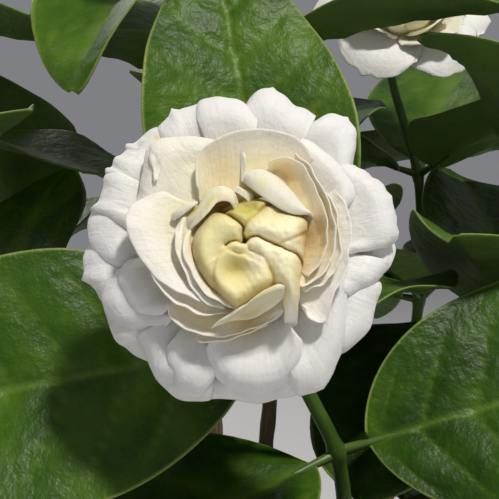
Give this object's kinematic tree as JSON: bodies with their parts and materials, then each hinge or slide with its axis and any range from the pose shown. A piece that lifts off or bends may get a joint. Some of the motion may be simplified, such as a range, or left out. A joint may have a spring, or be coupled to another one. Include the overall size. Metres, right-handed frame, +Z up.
{
  "type": "potted jasmine",
  "caption": "Jasmine shrub with double white blooms, buds and glossy leaves in whorls, rooted in soil in a plain round clay pot with a collar rim and drain holes.",
  "frame": {"origin": "middle of the pot's flat underside", "axes": "+Z up, along the pot's axis towards the top of the plant; -Y towards the front, where the large open bloom faces"},
  "size_m": [0.2424, 0.2535, 0.355],
  "materials": {
    "clay": "matte, unglazed",
    "potting_mix": "rough, crumbly",
    "bark": "matte",
    "leaf_green": "glossy above, with sunken veins",
    "petal_white": "soft, translucent"
  },
  "bodies": {
    "root": {"bloom_back": "petal_white", "bloom_back_right": "petal_white", "bloom_front": "petal_white", "bloom_left": "petal_white", "bud_back_left_1": "petal_white", "bud_back_left_2": "petal_white", "bud_back_left_3": "petal_white", "bud_front_left_1": "petal_white", "bud_front_left_2": "petal_white", "bud_front_left_3": "petal_white", "bud_low_right_1": "petal_white", "bud_low_right_2": "petal_white", "bud_low_right_3": "petal_white", "bud_right_1": "petal_white", "bud_right_2": "petal_white", "bud_right_3": "petal_white", "bud_top_1": "petal_white", "bud_top_2": "petal_white", "bud_top_3": "petal_white", "pot": "clay", "shoot_back": "leaf_green", "shoot_back_left": "leaf_green", "shoot_back_right": "leaf_green", "shoot_front": "leaf_green", "shoot_front_left": "leaf_green", "shoot_left": "leaf_green", "shoot_low_back": "leaf_green", "shoot_low_left": "leaf_green", "shoot_low_right": "leaf_green", "shoot_right": "leaf_green", "shoot_top": "leaf_green", "soil": "potting_mix", "woody_stems": "bark"}
  },
  "joints": []
}
